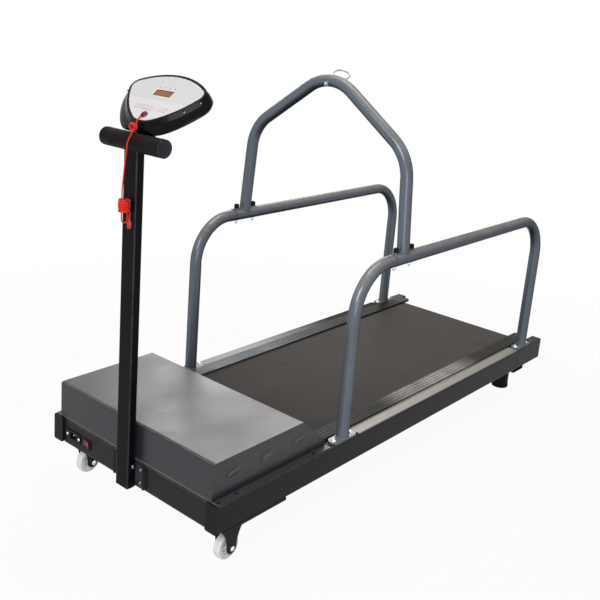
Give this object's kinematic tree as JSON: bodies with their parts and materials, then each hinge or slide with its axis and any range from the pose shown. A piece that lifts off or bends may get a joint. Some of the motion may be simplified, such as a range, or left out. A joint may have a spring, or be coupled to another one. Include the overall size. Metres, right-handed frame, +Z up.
{
  "type": "dog treadmill",
  "caption": "Motorised dog treadmill with a belted running deck, bent tube handrails, a leash arch with an eye bolt and a console on a mast.",
  "frame": {"origin": "centre of the footprint on the floor", "axes": "+X from the console end to the rear, +Y across, +Z up"},
  "size_m": [1.8645, 0.6872, 1.2295],
  "materials": {
    "black_frame_paint": "satin black powder coat",
    "panel_paint": "satin dark grey powder coat",
    "hood_paint": "satin charcoal powder coat",
    "tube_paint": "metallic gunmetal blue-grey paint",
    "black_plastic": "matte moulded",
    "gloss_black": "gloss moulded",
    "face_silver": "silver printed overlay",
    "window_tint": "tinted display window",
    "black_rubber": "moulded",
    "foam": "closed-cell foam sleeve",
    "belt_rubber": "matte textured tread belt",
    "board": "coated fibreboard",
    "alloy": "polished extrusion",
    "steel": "machined",
    "chrome": "bright plated",
    "wheel_clear": "clear polyurethane",
    "wheel_white": "white moulded",
    "red_plastic": "red moulded",
    "cord_red": "red braided cord"
  },
  "bodies": {
    "frame": {"side_rail_left": "black_frame_paint", "side_rail_right": "black_frame_paint", "end_caps": "black_plastic", "front_panel": "panel_paint", "cross_members": "black_frame_paint", "deck_cushions": "black_rubber", "deck": "board", "running_belt": "belt_rubber", "foot_rail_left": "alloy", "foot_rail_right": "alloy", "hood": "hood_paint", "hood_screws": "black_plastic", "power_inlet": "black_plastic", "switch_bezel": "black_plastic", "chrome_screws": "chrome", "handrail_left": "tube_paint", "handrail_right": "tube_paint", "frame_bolts": "chrome", "arch": "tube_paint", "arch_saddles": "tube_paint", "arch_bolts": "chrome", "arch_bolt_caps": "black_plastic", "eye_bolt": "chrome", "mast": "black_frame_paint", "mast_bracket": "black_frame_paint", "handlebar": "black_frame_paint", "handlebar_grip": "foam", "bar_end_caps": "black_plastic", "console_base": "gloss_black", "console_bezel": "gloss_black", "console_face": "face_silver", "display_window": "window_tint", "caster_brackets": "black_frame_paint", "caster_axles": "chrome", "front_roller_shaft": "steel", "rear_roller_shaft": "steel", "belt_tension_bolts": "steel", "drive_motor": "steel", "motor_mount": "black_frame_paint", "drive_belt": "black_rubber", "motor_controller": "alloy", "foot_lock_nuts": "steel"},
    "front_roller_body": {"front_roller": "steel", "roller_pulley": "alloy", "front_bearings": "steel"},
    "rear_roller_body": {"rear_roller": "steel", "rear_bearings": "steel"},
    "rotor_body": {"motor_rotor": "steel"},
    "wheel_left_body": {"wheel_tyre_left": "wheel_clear", "wheel_hub_left": "wheel_white"},
    "wheel_right_body": {"wheel_tyre_right": "wheel_clear", "wheel_hub_right": "wheel_white"},
    "rocker_body": {"rocker": "red_plastic"},
    "key_body": {"safety_key": "red_plastic", "lanyard_cord": "cord_red", "lanyard_hank": "cord_red", "lanyard_clip": "red_plastic"},
    "foot_left_body": {"rear_foot_left": "black_rubber"},
    "foot_right_body": {"rear_foot_right": "black_rubber"}
  },
  "joints": [
    {"name": "front_roller_spin", "type": "hinge", "parent": "frame", "child": "front_roller_body", "pos_m": [-0.48825, 0, 0.175], "axis": [0, 1, 0], "continuous": true},
    {"name": "rear_roller_spin", "type": "hinge", "parent": "frame", "child": "rear_roller_body", "pos_m": [0.82675, 0, 0.175], "axis": [0, 1, 0], "continuous": true},
    {"name": "rotor_spin", "type": "hinge", "parent": "frame", "child": "rotor_body", "pos_m": [-0.69825, 0, 0.183], "axis": [0, 1, 0], "continuous": true},
    {"name": "wheel_left_spin", "type": "hinge", "parent": "frame", "child": "wheel_left_body", "pos_m": [-0.79825, -0.294, 0.038], "axis": [0, 1, 0], "continuous": true},
    {"name": "wheel_right_spin", "type": "hinge", "parent": "frame", "child": "wheel_right_body", "pos_m": [-0.79825, 0.294, 0.038], "axis": [0, 1, 0], "continuous": true},
    {"name": "rocker_tilt", "type": "hinge", "parent": "frame", "child": "rocker_body", "pos_m": [-0.87675, 0.193, 0.159], "axis": [0, 0, 1], "range_deg": [0, 16]},
    {"name": "key_pull", "type": "slide", "parent": "frame", "child": "key_body", "axis": [-0.6428, 0, 0.766], "range_m": [0, 0.03]},
    {"name": "foot_left_level", "type": "slide", "parent": "frame", "child": "foot_left_body", "axis": [0, 0, -1], "range_m": [0, 0.012]},
    {"name": "foot_right_level", "type": "slide", "parent": "frame", "child": "foot_right_body", "axis": [0, 0, -1], "range_m": [0, 0.012]}
  ],
  "couplings": [
    {"joint": "rear_roller_spin", "follows": "front_roller_spin", "ratio": 1},
    {"joint": "rotor_spin", "follows": "front_roller_spin", "ratio": 2}
  ]
}
